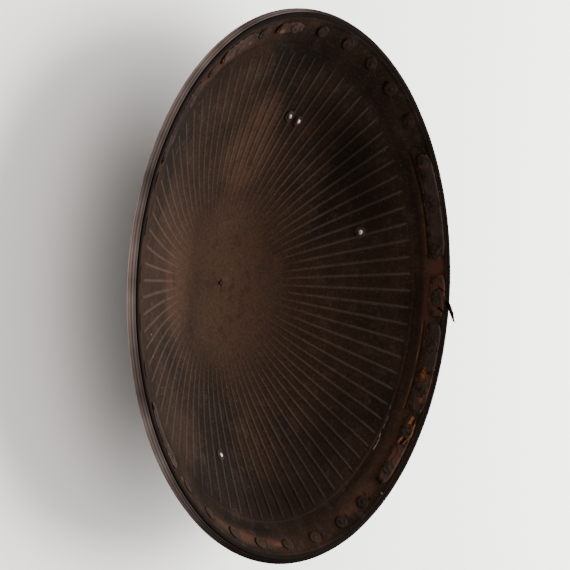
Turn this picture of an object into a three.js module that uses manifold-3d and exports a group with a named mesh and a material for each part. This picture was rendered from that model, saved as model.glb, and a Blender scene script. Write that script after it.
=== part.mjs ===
// A rondache: a round iron shield, lying on its domed face with the hollow inner side up.
// Millimetres, +Z up, the origin in the middle of the flat spot that it rests on.
import * as THREE from 'three';
import { mergeVertices } from 'three/addons/utils/BufferGeometryUtils.js';
import Module from 'manifold-3d';

const wasm = await Module();
wasm.setup();

// The iron plate, a dish of hammered sheet with a plain border and a rolled rim.
const OUTER_DIAMETER = 560;
const SHEET = 1.6;
const ROLL_DIAMETER = 12;
const BORDER_WIDTH = 32.4; // from the border's inner line to the middle of the rolled rim
const BORDER_TILT = 30.8; // degrees, rising outwards
const DOME_DEPTH = 74; // from the inner flat up to the border's inner line
const DOME_PEAK = 0.24; // 0 is a parabola, more is a slightly pointed dome
const REST_RADIUS = 22; // the flat spot hammered into the middle

// The end of a shank that is stuck in the middle of the plate. What it held on the outside is lost.
const CENTRE_SHANK = 5.2;
const CENTRE_GAP = 0.5; // the dark ring round it
const CENTRE_SIDE = 0.3; // how far its side stands over the inner face
const CENTRE_END_HEIGHT = 0.6; // the rounded end over that
const CENTRE_CLEAR = 0.15; // how far the broken end stays above the resting face

// The raised line where the flutes stop and the border starts.
const LINE_HEIGHT = 0.8;
const LINE_WIDTH = 2.6;

// The flutes: broad panels between narrow grooves, which are sharp ridges on the inner side.
const FLUTE_COUNT = 82;
const FLUTE_HEIGHT = 1.3;
const RIDGE_WIDTH = 4.4;
const RIDGE_SHARE = 0.5; // of the space between two ridges, near the middle where they crowd
const FLUTE_START_RADIUS = 56;
const FLUTE_RISE = 46; // over this length a ridge grows to its full height
const FLUTE_RUNOUT = 7; // it ends this far before the border's line
const FLUTE_TURN = 0.4; // degrees, the first ridge from +X
const FLUTE_CROWDING = 1.2; // degrees: the ridges were set out by eye, a little closer towards +X and -X

// The rivets that held the lining band, each with an oval iron washer inside.
const RIVET_COUNT = 34;
const RIVET_TURN = -1.1; // degrees, the first rivet from +X
const RIVET_SHIFTS = new Map([[6, -1], [7, -1.5], [8, -1.6], [9, -1.2], [29, -1.4]]); // degrees off the even spacing
const RIVET_FROM_ROLL = 13.5; // from the middle of the rolled rim in to the rivets
const RIVET_SHANK = 4;
const RIVET_HEAD = 9;
const RIVET_HEAD_HEIGHT = 2.4;
const RIVET_END_HEIGHT = 0.8;
const WASHER_LENGTH = 18; // along the rim
const WASHER_WIDTH = 12.5; // across the border
const WASHER_THICKNESS = 0.9;

// The rivets that held the arm straps. The straps are lost.
const STRAP_SHANK = 4.5;
const STRAP_HEAD = 12;
const STRAP_HEAD_HEIGHT = 2.2;
const STRAP_WASHER = 12;
const STRAP_WASHER_THICKNESS = 1.2;
const STRAP_END_HEIGHT = 1.5;
const STRAP_RIVETS = [
  { name: 'strap_rivet_upper_a', radius: 177, turn: 75.5 },
  { name: 'strap_rivet_upper_b', radius: 177, turn: 70.4 },
  { name: 'strap_rivet_right', radius: 184, turn: 18.5 },
  { name: 'strap_rivet_lower', radius: 180, turn: -106 },
];

// What is left of the leather lining band. Its outer edge lies just inside the rolled rim.
const LEATHER_THICKNESS = 2;
const LEATHER_WIDTH = 15.5;
const LEATHER_FROM_ROLL = 4.6; // from the middle of the rolled rim in to the leather's outer edge
const WORN_DEPTH = 3.1; // how far both edges are drawn in at a torn end
const LEATHER_STEP = 5; // degrees between two sections
const LEATHER = [
  { name: 'leather_strip_upper', from: 7.8, to: 32, inner: 0, outer: 0 },
  { name: 'leather_flap', from: -5.4, to: 4.2, inner: 0, outer: 0 },
  { name: 'leather_strip_middle', from: -28, to: -6.6, inner: 0, outer: 0 },
  { name: 'leather_strip_lower', from: -48, to: -28.8, inner: 1, outer: 2 },
  { name: 'leather_scrap_top', from: 90, to: 100, inner: 1.5, outer: 3 },
  { name: 'leather_scrap_crown', from: 107.8, to: 122.5, inner: 2, outer: 1 },
  { name: 'leather_strip_near_top', from: 131, to: 154, inner: 3, outer: 0 },
  { name: 'leather_strip_near_foot', from: -152, to: -135, inner: 2, outer: 0 },
];

// A torn sliver of the flap stands up over the rim.
const TONGUE_RISE = 14; // its tip above the middle of the rolled rim
const TONGUE_LENGTH = 25.8; // along the rim, from the middle of the flap to its tip
const TONGUE_WIDTH = 6;
const TONGUE_TIP = 1.4;
const TONGUE_OVERHANG = 2; // its tip lies this far beyond the middle of the rolled rim
const TONGUE_AT_CREST = 0.28; // share of its way along the rim where it crosses the border's crest
const TONGUE_AT_ROLL = 0.5; // the same where it is over the middle of the rolled rim
const TONGUE_SECTIONS = 7;

// Gaps between pieces that touch.
const SEAT_GAP = 0.35;
const SHANK_GAP = 0.3;
const CUT_LENGTH = 16; // a hole's cut, long enough to go right through plate and leather

// Facets.
const RIM_FACETS = 6;
const HOLE_FACETS = 12;
const RIVET_FACETS = 6;
const DOME_RINGS = 2; // rings of facets between the full ridges' start and end

const radians = THREE.MathUtils.degToRad;

// Places worked out from the sizes above.
const rollRadius = ROLL_DIAMETER / 2;
const rollMiddle = OUTER_DIAMETER / 2 - rollRadius;
const borderStart = rollMiddle - BORDER_WIDTH;
const tilt = radians(BORDER_TILT);
const crest = rollMiddle - rollRadius * Math.sin(tilt);
const lineLevel = SHEET + DOME_DEPTH;
const rollLevel = lineLevel + (crest - borderStart) * Math.tan(tilt) - rollRadius * Math.cos(tilt);
const ridgeFull = FLUTE_START_RADIUS + FLUTE_RISE;
const ridgeEnd = borderStart - FLUTE_RUNOUT;
const rivetRadius = rollMiddle - RIVET_FROM_ROLL;
const leatherOuter = rollMiddle - LEATHER_FROM_ROLL;
const leatherLift = LEATHER_THICKNESS + SEAT_GAP;
const flutedRadii = Array.from({ length: DOME_RINGS + 1 }, (_, i) => (
  ridgeFull + (ridgeEnd - ridgeFull) * i / DOME_RINGS
));

/** The dome's shape from 0 in the middle to 1 at the border's line. */
function domeShare(radius) {
  const t = radius / borderStart;
  return (1 + DOME_PEAK) * t ** 2 - DOME_PEAK * t ** 4;
}

/** Height of the inner face, without its ridges. */
function innerLevel(radius) {
  if (radius <= REST_RADIUS) return SHEET;
  if (radius >= borderStart) return lineLevel + (radius - borderStart) * Math.tan(tilt);
  const flat = domeShare(REST_RADIUS);
  return SHEET + DOME_DEPTH * (domeShare(radius) - flat) / (1 - flat);
}

/** Slope of the inner face as an angle. */
function slopeAt(radius) {
  const step = 0.5;
  return Math.atan2(innerLevel(radius + step) - innerLevel(radius - step), 2 * step);
}

/** Height and slope of the faceted inner face, which is straight from one ring of points to the next. */
function facetAt(radius) {
  const rings = [REST_RADIUS, FLUTE_START_RADIUS, ...flutedRadii, borderStart];
  const next = rings.findIndex((ring) => ring > radius);
  if (next < 0) return { level: innerLevel(radius), slope: tilt };
  const low = rings[next - 1];
  const rise = innerLevel(rings[next]) - innerLevel(low);
  const slope = Math.atan2(rise, rings[next] - low);
  return { level: innerLevel(low) + (radius - low) * Math.tan(slope), slope };
}

/** How high the ridges stand at this radius. */
function ridgeHeight(radius) {
  const grown = THREE.MathUtils.clamp((radius - FLUTE_START_RADIUS) / FLUTE_RISE, 0, 1);
  return FLUTE_HEIGHT * grown;
}

function ridgeAngle(index) {
  const even = radians(FLUTE_TURN) + index * 2 * Math.PI / FLUTE_COUNT;
  return even - radians(FLUTE_CROWDING) * Math.sin(2 * even);
}

function polar(radius, angle, level) {
  return new THREE.Vector3(radius * Math.cos(angle), radius * Math.sin(angle), level);
}

/** One point for each ridge, at one level. */
function plainRing(radius, level) {
  return Array.from({ length: FLUTE_COUNT }, (_, i) => polar(radius, ridgeAngle(i), level));
}

/** Three points for each ridge: its foot, its edge and its other foot. */
function flutedRing(radius, drop) {
  const pitch = 2 * Math.PI * radius / FLUTE_COUNT;
  const half = Math.min(RIDGE_WIDTH, RIDGE_SHARE * pitch) / 2 / radius;
  const level = innerLevel(radius) - drop;
  const ring = [];
  for (let i = 0; i < FLUTE_COUNT; i += 1) {
    const angle = ridgeAngle(i);
    ring.push(polar(radius, angle - half, level));
    ring.push(polar(radius, angle, level + ridgeHeight(radius)));
    ring.push(polar(radius, angle + half, level));
  }
  return ring;
}

function roundRing(radius, level, count) {
  return Array.from({ length: count }, (_, i) => polar(radius, 2 * Math.PI * i / count, level));
}

/** Triangles between two rings of any two counts, matched by how far round each point lies. */
function stitch(first, second, indexOf, triangles) {
  const same = 1e-9;
  const turn = (ring, i) => {
    const p = ring[i % ring.length];
    const start = ring[0];
    const angle = Math.atan2(p.y, p.x) - Math.atan2(start.y, start.x);
    const positive = (angle + 4 * Math.PI) % (2 * Math.PI);
    return Math.atan2(start.y, start.x) + (i >= ring.length ? 2 * Math.PI : positive);
  };
  let i = 0;
  let j = 0;
  while (i < first.length || j < second.length) {
    const a = indexOf(first[i % first.length]);
    const b = indexOf(second[j % second.length]);
    const nextFirst = i < first.length ? turn(first, i + 1) : Infinity;
    const nextSecond = j < second.length ? turn(second, j + 1) : Infinity;
    if (nextFirst < nextSecond - same) {
      i += 1;
      triangles.push(a, b, indexOf(first[i % first.length]));
    } else {
      j += 1;
      triangles.push(a, b, indexOf(second[j % second.length]));
    }
  }
}

/** A closed geometry from rings of points that follow one another and meet again at the start. */
function geometryFromLoop(rings) {
  const points = rings.flat();
  const numbers = new Map(points.map((point, i) => [point, i]));
  const triangles = [];
  rings.forEach((ring, i) => {
    stitch(ring, rings[(i + 1) % rings.length], (point) => numbers.get(point), triangles);
  });
  const geometry = new THREE.BufferGeometry().setFromPoints(points);
  geometry.setIndex(triangles);
  return geometry;
}

/** A closed geometry from sections of equal count, ended by flat caps, or by points where they are given. */
function geometryFromSections(sections, firstPoint = null, lastPoint = null) {
  const count = sections[0].length;
  const points = sections.flat();
  const last = points.length - count;
  const triangles = [];
  for (let s = 0; s < last; s += count) {
    for (let i = 0; i < count; i += 1) {
      const a = s + i;
      const b = s + (i + 1) % count;
      triangles.push(a, b, b + count, a, b + count, a + count);
    }
  }
  const closeEnd = (start, point, flip) => {
    const hub = point ? points.push(point) - 1 : start;
    for (let i = point ? 0 : 1; i + 1 < count + (point ? 1 : 0); i += 1) {
      const a = start + i;
      const b = start + (i + 1) % count;
      triangles.push(hub, flip ? b : a, flip ? a : b);
    }
  };
  closeEnd(0, firstPoint, true);
  closeEnd(last, lastPoint, false);
  const geometry = new THREE.BufferGeometry().setFromPoints(points);
  geometry.setIndex(triangles);
  return geometry;
}

function toSolid(geometry) {
  const bare = geometry.clone();
  bare.deleteAttribute('normal');
  bare.deleteAttribute('uv');
  const merged = mergeVertices(bare);
  return new wasm.Manifold(new wasm.Mesh({
    numProp: 3,
    vertProperties: new Float32Array(merged.attributes.position.array),
    triVerts: new Uint32Array(merged.index.array),
  }));
}

function toGeometry(solid) {
  const mesh = solid.getMesh();
  const geometry = new THREE.BufferGeometry();
  geometry.setAttribute('position', new THREE.BufferAttribute(new Float32Array(mesh.vertProperties), 3));
  geometry.setIndex(new THREE.BufferAttribute(new Uint32Array(mesh.triVerts), 1));
  geometry.computeVertexNormals();
  return geometry;
}

/** Where something sits on the inner face: on the surface, turned square to it. */
function seat(radius, angle, lift) {
  const { level, slope } = facetAt(radius);
  const inward = new THREE.Vector3(-Math.cos(angle), -Math.sin(angle), 0);
  const normal = new THREE.Vector3(0, 0, Math.cos(slope)).addScaledVector(inward, Math.sin(slope));
  const along = new THREE.Vector3(-Math.sin(angle), Math.cos(angle), 0);
  const across = new THREE.Vector3().crossVectors(along, normal);
  const origin = polar(radius, angle, level).addScaledVector(normal, lift);
  return new THREE.Matrix4().makeBasis(across, along, normal).setPosition(origin);
}

/** A straight hole square through the sheet, its flats the stated gap clear of the shank. */
function holeCutter(radius, angle, shank) {
  const size = (shank / 2 + SHANK_GAP) / Math.cos(Math.PI / RIVET_FACETS);
  const cutter = new THREE.CylinderGeometry(size, size, CUT_LENGTH, RIVET_FACETS);
  cutter.rotateX(Math.PI / 2);
  cutter.applyMatrix4(seat(radius, angle, 0));
  return toSolid(cutter);
}

/** An oval ring of points round the Z axis. */
function ovalRing(sizeX, sizeY, level) {
  return Array.from({ length: RIVET_FACETS }, (_, i) => {
    const angle = 2 * Math.PI * (i + 0.5) / RIVET_FACETS;
    return new THREE.Vector3(sizeX / 2 * Math.cos(angle), sizeY / 2 * Math.sin(angle), level);
  });
}

/** A rivet as a stack of rings, from the head outside to the hammered end inside. */
function rivetGeometry({ shank, head, headHeight, length, width, thickness, endHeight, under }) {
  const below = -SHEET - SEAT_GAP;
  const above = under + thickness;
  const sections = [
    ovalRing(head, head, below),
    ovalRing(shank, shank, below),
    ovalRing(shank, shank, under),
    ovalRing(width, length, under),
    ovalRing(width, length, above),
  ];
  const headTop = new THREE.Vector3(0, 0, below - headHeight);
  const hammeredEnd = new THREE.Vector3(0, 0, above + endHeight);
  return geometryFromSections(sections, headTop, hammeredEnd);
}

/** The centre shank: its broken end a little inside the outer face, and its rounded end over the inner one. */
function shankGeometry() {
  const sideTop = SHEET + CENTRE_SIDE;
  const sections = [
    ovalRing(CENTRE_SHANK, CENTRE_SHANK, CENTRE_CLEAR),
    ovalRing(CENTRE_SHANK, CENTRE_SHANK, sideTop),
  ];
  const roundedEnd = new THREE.Vector3(0, 0, sideTop + CENTRE_END_HEIGHT);
  return geometryFromSections(sections, null, roundedEnd);
}

function plateGeometry() {
  const hole = (CENTRE_SHANK / 2 + CENTRE_GAP) / Math.cos(Math.PI / HOLE_FACETS);
  const upper = [
    roundRing(hole, SHEET, HOLE_FACETS),
    roundRing(REST_RADIUS, SHEET, FLUTE_COUNT / 2),
    plainRing(FLUTE_START_RADIUS, innerLevel(FLUTE_START_RADIUS)),
  ];
  const lower = [
    roundRing(hole, 0, HOLE_FACETS),
    roundRing(REST_RADIUS, 0, FLUTE_COUNT / 2),
    plainRing(FLUTE_START_RADIUS, innerLevel(FLUTE_START_RADIUS) - SHEET / Math.cos(slopeAt(FLUTE_START_RADIUS))),
  ];
  for (const radius of flutedRadii) {
    upper.push(flutedRing(radius, 0));
    lower.push(flutedRing(radius, SHEET / Math.cos(slopeAt(radius))));
  }
  const borderDrop = SHEET / Math.cos(tilt);
  upper.push(plainRing(borderStart, lineLevel + LINE_HEIGHT));
  upper.push(plainRing(borderStart + LINE_WIDTH / 2, innerLevel(borderStart + LINE_WIDTH / 2)));
  lower.push(plainRing(borderStart, lineLevel - borderDrop));

  // Round the roll, from the crest over the top, down the outside and in under the border.
  const crestTurn = Math.PI / 2 + tilt;
  const underTurn = crestTurn + Math.acos((rollRadius - SHEET) / rollRadius) - 2 * Math.PI;
  const roll = [];
  for (let i = 0; i <= RIM_FACETS; i += 1) {
    const turn = crestTurn + (underTurn - crestTurn) * i / RIM_FACETS;
    roll.push(plainRing(rollMiddle + rollRadius * Math.cos(turn), rollLevel + rollRadius * Math.sin(turn)));
  }
  return geometryFromLoop([...upper, ...roll, ...lower.reverse()]);
}

/** How much a torn end is drawn in, from 0 along the strip to 1 at its end. */
function wornEnd(share, length) {
  const fromEnd = Math.min(share, 1 - share) * length;
  return Math.max(0, 1 - fromEnd / LEATHER_WIDTH) ** 2;
}

function leatherSection(inner, outer, angle) {
  const corner = (radius, lift) => new THREE.Vector3(0, 0, 0).applyMatrix4(seat(radius, angle, lift));
  return [
    corner(inner, SEAT_GAP),
    corner(inner, leatherLift),
    corner(outer, leatherLift),
    corner(outer, SEAT_GAP),
  ];
}

function leatherGeometry({ from, to, inner, outer }) {
  const steps = Math.max(3, Math.round((to - from) / LEATHER_STEP));
  const length = radians(to - from) * leatherOuter;
  const sections = [];
  for (let i = 0; i <= steps; i += 1) {
    const share = i / steps;
    const worn = wornEnd(share, length) * WORN_DEPTH;
    const start = leatherOuter - LEATHER_WIDTH + inner + worn;
    const end = leatherOuter - outer - worn;
    sections.push(leatherSection(start, end, radians(from + (to - from) * share)));
  }
  return geometryFromSections(sections);
}

/** The torn sliver: square sections that leave the flap, cross over the rim and rise to a tip. */
function tongueGeometry(flap) {
  const start = radians((flap.from + flap.to) / 2);
  const sweep = -TONGUE_LENGTH / rollMiddle;
  const root = leatherOuter - TONGUE_WIDTH / 2 - flap.outer;
  const rootLevel = innerLevel(root) + leatherLift;
  const clear = rollLevel + rollRadius + LEATHER_THICKNESS;
  const rise = new THREE.CatmullRomCurve3([
    new THREE.Vector3(root, rootLevel - LEATHER_THICKNESS / 2, 0),
    new THREE.Vector3(crest, clear, TONGUE_AT_CREST),
    new THREE.Vector3(rollMiddle, clear + SEAT_GAP, TONGUE_AT_ROLL),
    new THREE.Vector3(rollMiddle + TONGUE_OVERHANG, rollLevel + TONGUE_RISE, 1),
  ]);
  const sections = [];
  for (let i = 0; i < TONGUE_SECTIONS; i += 1) {
    const share = i / (TONGUE_SECTIONS - 1);
    const at = rise.getPoint(share);
    const half = THREE.MathUtils.lerp(TONGUE_WIDTH, TONGUE_TIP, share) / 2;
    const thick = THREE.MathUtils.lerp(LEATHER_THICKNESS, TONGUE_TIP, share) / 2;
    const angle = start + sweep * at.z;
    const lean = tilt * (1 - share);
    const out = half * Math.cos(lean);
    const up = half * Math.sin(lean);
    sections.push([
      polar(at.x - out, angle, at.y - up - thick),
      polar(at.x + out, angle, at.y + up - thick),
      polar(at.x + out, angle, at.y + up + thick),
      polar(at.x - out, angle, at.y - up + thick),
    ]);
  }
  return geometryFromSections(sections);
}

const iron = (colour) => new THREE.MeshStandardMaterial({ color: colour, roughness: 0.55, metalness: 0.8 });
const hide = (colour) => new THREE.MeshStandardMaterial({ color: colour, roughness: 0.9, metalness: 0 });

function addMesh(group, name, geometry, material) {
  const mesh = new THREE.Mesh(geometry, material);
  mesh.name = name;
  group.add(mesh);
  return mesh;
}

const rivetTurns = Array.from({ length: RIVET_COUNT }, (_, i) => {
  const turn = RIVET_TURN + 360 * i / RIVET_COUNT + (RIVET_SHIFTS.get(i) ?? 0);
  return turn > 180 ? turn - 360 : turn;
});

/** The piece of leather that a rivet goes through, if any. */
function leatherAt(turn) {
  return LEATHER.find(({ from, to }) => turn > from && turn < to);
}

const shield = new THREE.Group();

let plate = toSolid(plateGeometry());
for (const turn of rivetTurns) {
  plate = plate.subtract(holeCutter(rivetRadius, radians(turn), RIVET_SHANK));
}
for (const { radius, turn } of STRAP_RIVETS) {
  plate = plate.subtract(holeCutter(radius, radians(turn), STRAP_SHANK));
}
addMesh(shield, 'iron_plate', toGeometry(plate), iron(0x3a2e26));

addMesh(shield, 'centre_shank', shankGeometry(), iron(0x4a4038));

rivetTurns.forEach((turn, i) => {
  const geometry = rivetGeometry({
    shank: RIVET_SHANK,
    head: RIVET_HEAD,
    headHeight: RIVET_HEAD_HEIGHT,
    length: WASHER_LENGTH,
    width: WASHER_WIDTH,
    thickness: WASHER_THICKNESS,
    endHeight: RIVET_END_HEIGHT,
    under: leatherAt(turn) ? leatherLift + SEAT_GAP : SEAT_GAP,
  });
  const mesh = addMesh(shield, `lining_rivet_${String(i + 1).padStart(2, '0')}`, geometry, iron(0x4a4038));
  mesh.applyMatrix4(seat(rivetRadius, radians(turn), 0));
});

for (const { name, radius, turn } of STRAP_RIVETS) {
  const geometry = rivetGeometry({
    shank: STRAP_SHANK,
    head: STRAP_HEAD,
    headHeight: STRAP_HEAD_HEIGHT,
    length: STRAP_WASHER,
    width: STRAP_WASHER,
    thickness: STRAP_WASHER_THICKNESS,
    endHeight: STRAP_END_HEIGHT,
    under: FLUTE_HEIGHT + SEAT_GAP,
  });
  addMesh(shield, name, geometry, iron(0x8c857c)).applyMatrix4(seat(radius, radians(turn), 0));
}

for (const piece of LEATHER) {
  let leather = toSolid(leatherGeometry(piece));
  for (const turn of rivetTurns) {
    if (leatherAt(turn) === piece) {
      leather = leather.subtract(holeCutter(rivetRadius, radians(turn), RIVET_SHANK));
    }
  }
  if (piece.name === 'leather_flap') leather = leather.add(toSolid(tongueGeometry(piece)));
  addMesh(shield, piece.name, toGeometry(leather), hide(0x4b3324));
}

export default shield;
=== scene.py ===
"""The looks of a rondache, a round iron shield that lies on its domed face with the hollow side up.

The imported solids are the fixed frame, in metres, with the shield's axis along Z. Sizes here are in
millimetres and degrees, and turns are counted from +X towards +Y.
"""

import logging
import math
from dataclasses import dataclass
from dataclasses import field
from enum import Enum

import bpy
import numpy as np
from mathutils import Matrix
from mathutils import Vector

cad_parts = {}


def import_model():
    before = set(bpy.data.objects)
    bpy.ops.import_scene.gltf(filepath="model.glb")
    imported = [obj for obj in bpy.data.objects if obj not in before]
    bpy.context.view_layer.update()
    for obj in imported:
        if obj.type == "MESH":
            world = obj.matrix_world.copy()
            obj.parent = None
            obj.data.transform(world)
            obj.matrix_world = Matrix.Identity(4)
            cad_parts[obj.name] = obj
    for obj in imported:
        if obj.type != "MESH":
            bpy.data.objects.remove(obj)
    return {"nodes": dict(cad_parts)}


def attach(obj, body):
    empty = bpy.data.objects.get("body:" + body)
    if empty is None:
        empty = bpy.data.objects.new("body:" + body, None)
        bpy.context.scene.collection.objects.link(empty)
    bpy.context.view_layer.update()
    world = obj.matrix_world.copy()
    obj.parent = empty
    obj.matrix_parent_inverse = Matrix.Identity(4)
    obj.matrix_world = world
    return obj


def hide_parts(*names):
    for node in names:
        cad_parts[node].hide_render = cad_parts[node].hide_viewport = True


Piece = bpy.types.Object
Socket = bpy.types.NodeSocket
Tree = bpy.types.NodeTree

MM = 0.001
LOG = logging.getLogger("rondache")
MATH = "ShaderNodeMath"
MAP_RANGE = "ShaderNodeMapRange"
NOISE = "ShaderNodeTexNoise"
# The colour sockets of the Mix node, by number.
MIX_A = 6
MIX_B = 7
MIX_RESULT = 2
# The kind of socket that lets a value into a geometry tree.
SOCKET_TYPES = {
    float: "NodeSocketFloat",
    int: "NodeSocketInt",
    bpy.types.Material: "NodeSocketMaterial",
    bpy.types.Object: "NodeSocketObject",
}
# Each sine of a wave is so much finer and fainter than the one before, give or take the spread.
WAVE_STEP = 1.7
WAVE_FADE = 1.5
WAVE_SPREAD = 0.15
# A thin mark shows fully this near to its middle, and a turned body closes at this radius.
MARK_CORE = 0.2
POINT_RADIUS = 0.05
# The plate's layers. The near-black one is painted shade, the rim's shine is a painted highlight partly on
# bare metal, and the pale and ridge layers are wear with a painted sheen.
PLATE_LAYERS = ("ridge", "pale", "rust", "orange", "rim", "soot", "scratch", "shine")
# The leather's layers. The dark one holds cracks, and also painted shade at the strips' outer edges and under
# the sliver.
LEATHER_LAYERS = ("torn", "tan", "grey", "dark")


def linear(code: str) -> tuple[float, float, float, float]:
    """Turns an sRGB colour into the linear values that shaders use.

    Args:
        code: the colour as six hexadecimal digits after a hash.

    Returns:
        Linear red, green and blue, and an alpha of 1.
    """
    parts = [int(code[i : i + 2], 16) / 255 for i in (1, 3, 5)]
    red, green, blue = (c / 12.92 if c <= 0.04045 else ((c + 0.055) / 1.055) ** 2.4 for c in parts)
    return red, green, blue, 1.0


def add(
    tree: Tree,
    kind: str,
    inputs: dict[int | str, object] | tuple[object, ...] = (),
    output: int | str = 0,
    **settings: object,
) -> Socket | None:
    """Adds one node to a tree with its settings and links.

    Args:
        tree: the node tree.
        kind: Blender's type name of the node.
        inputs: plain values and sockets to link from, in order or by the inputs' names or numbers.
        output: name or number of the output that is given back.
        **settings: properties of the node.

    Returns:
        The chosen output, or None for a node without outputs.
    """
    node = tree.nodes.new(kind)
    for name, value in settings.items():
        setattr(node, name, value)
    for key, value in inputs.items() if isinstance(inputs, dict) else enumerate(inputs):
        if isinstance(value, Socket):
            tree.links.new(value, node.inputs[key])
        else:
            node.inputs[key].default_value = value
    return node.outputs[output] if len(node.outputs) else None


def smooth(values: np.ndarray, low: float, high: float) -> np.ndarray:
    """Eases from 0 at low to 1 at high.

    Args:
        values: the numbers to ease.
        low: where 0 ends.
        high: where 1 starts, which may be below low.

    Returns:
        Eased values from 0 to 1.
    """
    share = np.clip((values - low) / (high - low), 0.0, 1.0)
    return share * share * (3.0 - 2.0 * share)


def apart(turn: np.ndarray | float, other: float) -> np.ndarray | float:
    """How many degrees one turn is past another, from -180 to 180."""
    return (turn - other + 180) % 360 - 180


def wave(values: np.ndarray, seed: int, count: int = 5) -> np.ndarray:
    """An uneven wave that is the same each time for one seed.

    Args:
        values: where to read it, in turns of its longest wave.
        seed: picks the wave.
        count: how many sines it is made of, each finer than the one before.

    Returns:
        Values mostly between -1 and 1.
    """
    chance = np.random.default_rng(seed)
    total = np.zeros_like(values, dtype=float)
    for order in range(count):
        phase = chance.uniform(0, 2 * math.pi)
        pitch = (WAVE_STEP**order) * chance.uniform(1 - WAVE_SPREAD, 1 + WAVE_SPREAD)
        total += np.sin(2 * math.pi * pitch * values + phase) / WAVE_FADE**order
    return total / 2.0


class Slot(Enum):
    """The record's material slots."""

    PLATE = "plate_iron"
    RIVET = "rivet_iron"
    STRAP = "strap_iron"
    LEATHER = "old_leather"


@dataclass(frozen=True)
class Profile:
    """The dish's section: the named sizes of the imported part, and what follows from them."""

    outer_diameter: float = 560.0
    sheet: float = 1.6
    roll_diameter: float = 12.0
    border_width: float = 32.4
    border_tilt: float = 30.8
    dome_depth: float = 74.0
    dome_peak: float = 0.24
    rest_radius: float = 22.0
    centre_hole: float = 6.2
    slope_step: float = 0.5

    @property
    def roll_radius(self) -> float:
        """Radius of the rolled rim's section."""
        return self.roll_diameter / 2

    @property
    def roll_middle(self) -> float:
        """Distance of the rolled rim's middle from the axis."""
        return self.outer_diameter / 2 - self.roll_radius

    @property
    def border_start(self) -> float:
        """Radius of the line where the dome ends and the border starts."""
        return self.roll_middle - self.border_width

    @property
    def tilt(self) -> float:
        """The border's slope in radians."""
        return math.radians(self.border_tilt)

    @property
    def crest(self) -> float:
        """Radius where the border meets the rolled rim."""
        return self.roll_middle - self.roll_radius * math.sin(self.tilt)

    @property
    def line_level(self) -> float:
        """Height of the inner face where the border starts."""
        return self.sheet + self.dome_depth

    @property
    def roll_level(self) -> float:
        """Height of the rolled rim's middle."""
        rise = (self.crest - self.border_start) * math.tan(self.tilt)
        return self.line_level + rise - self.roll_radius * math.cos(self.tilt)

    def dome_share(self, radius: np.ndarray) -> np.ndarray:
        """The dome's shape, from 0 in the middle to 1 at the border."""
        share = radius / self.border_start
        return (1 + self.dome_peak) * share**2 - self.dome_peak * share**4

    def level(self, radius: np.ndarray | float) -> np.ndarray:
        """Height of the plain inner face.

        Args:
            radius: distance from the axis, one value or many.

        Returns:
            Heights above the floor.
        """
        radius = np.asarray(radius, dtype=float)
        flat = self.dome_share(np.array(self.rest_radius))
        dome = self.sheet + self.dome_depth * (self.dome_share(radius) - flat) / (1 - flat)
        border = self.line_level + (radius - self.border_start) * math.tan(self.tilt)
        raised = np.where(radius < self.border_start, dome, border)
        return np.where(radius <= self.rest_radius, self.sheet, raised)

    def slope(self, radius: np.ndarray | float) -> np.ndarray:
        """Slope of the inner face in radians, rising outwards."""
        step = self.slope_step
        return np.arctan2(self.level(radius + step) - self.level(radius - step), 2 * step)

    def on_face(self, radius: np.ndarray, turn: np.ndarray, lift: np.ndarray) -> np.ndarray:
        """Points over the inner face.

        Args:
            radius: distance from the axis.
            turn: direction in radians.
            lift: height square to the face.

        Returns:
            Places in millimetres, one row each.
        """
        slope = self.slope(radius)
        out = radius - lift * np.sin(slope)
        up = self.level(radius) + lift * np.cos(slope)
        return np.stack([out * np.cos(turn), out * np.sin(turn), up], axis=-1)


def mesh_object(
    name: str,
    points: np.ndarray,
    faces: list[list[int]],
    attributes: dict[str, np.ndarray] | None = None,
) -> Piece:
    """Makes an object at the origin from points in millimetres.

    Args:
        name: name of the piece.
        points: one row of x, y and z each.
        faces: the corners of each face, which point outwards.
        attributes: one number or one direction for each point, by name.

    Returns:
        The new object, smoothly shaded.
    """
    mesh = bpy.data.meshes.new(name)
    mesh.from_pydata((points * MM).tolist(), [], faces)
    for key, values in (attributes or {}).items():
        kind, member = ("FLOAT", "value") if values.ndim == 1 else ("FLOAT_VECTOR", "vector")
        layer = mesh.attributes.new(key, kind, "POINT")
        layer.data.foreach_set(member, values.astype(np.float32).ravel())
    mesh.shade_smooth()
    piece = bpy.data.objects.new(name, mesh)
    bpy.context.scene.collection.objects.link(piece)
    return piece


def band_faces(rings: int, count: int, ring_loop: bool = False, round_loop: bool = True) -> np.ndarray:
    """Four-cornered faces between rings of equal count.

    Args:
        rings: how many rings there are.
        count: points in each ring.
        ring_loop: whether the last ring meets the first.
        round_loop: whether each ring closes on itself.

    Returns:
        One row of four point numbers for each face.
    """
    ring = np.arange(rings if ring_loop else rings - 1)
    step = np.arange(count if round_loop else count - 1)
    ring, step = (values.ravel() for values in np.meshgrid(ring, step, indexing="ij"))
    here, after = ring * count, (ring + 1) % rings * count
    beside = (step + 1) % count
    return np.stack([here + step, here + beside, after + beside, after + step], axis=-1)


def tube_faces(rings: int, sides: int) -> list[list[int]]:
    """Faces of a tube of rings whose two ends are closed.

    Args:
        rings: how many rings there are.
        sides: points in each ring.

    Returns:
        The corners of each face.
    """
    last = (rings - 1) * sides
    ends = [list(range(sides))[::-1], list(range(last, last + sides))]
    return band_faces(rings, sides).tolist() + ends


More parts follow.
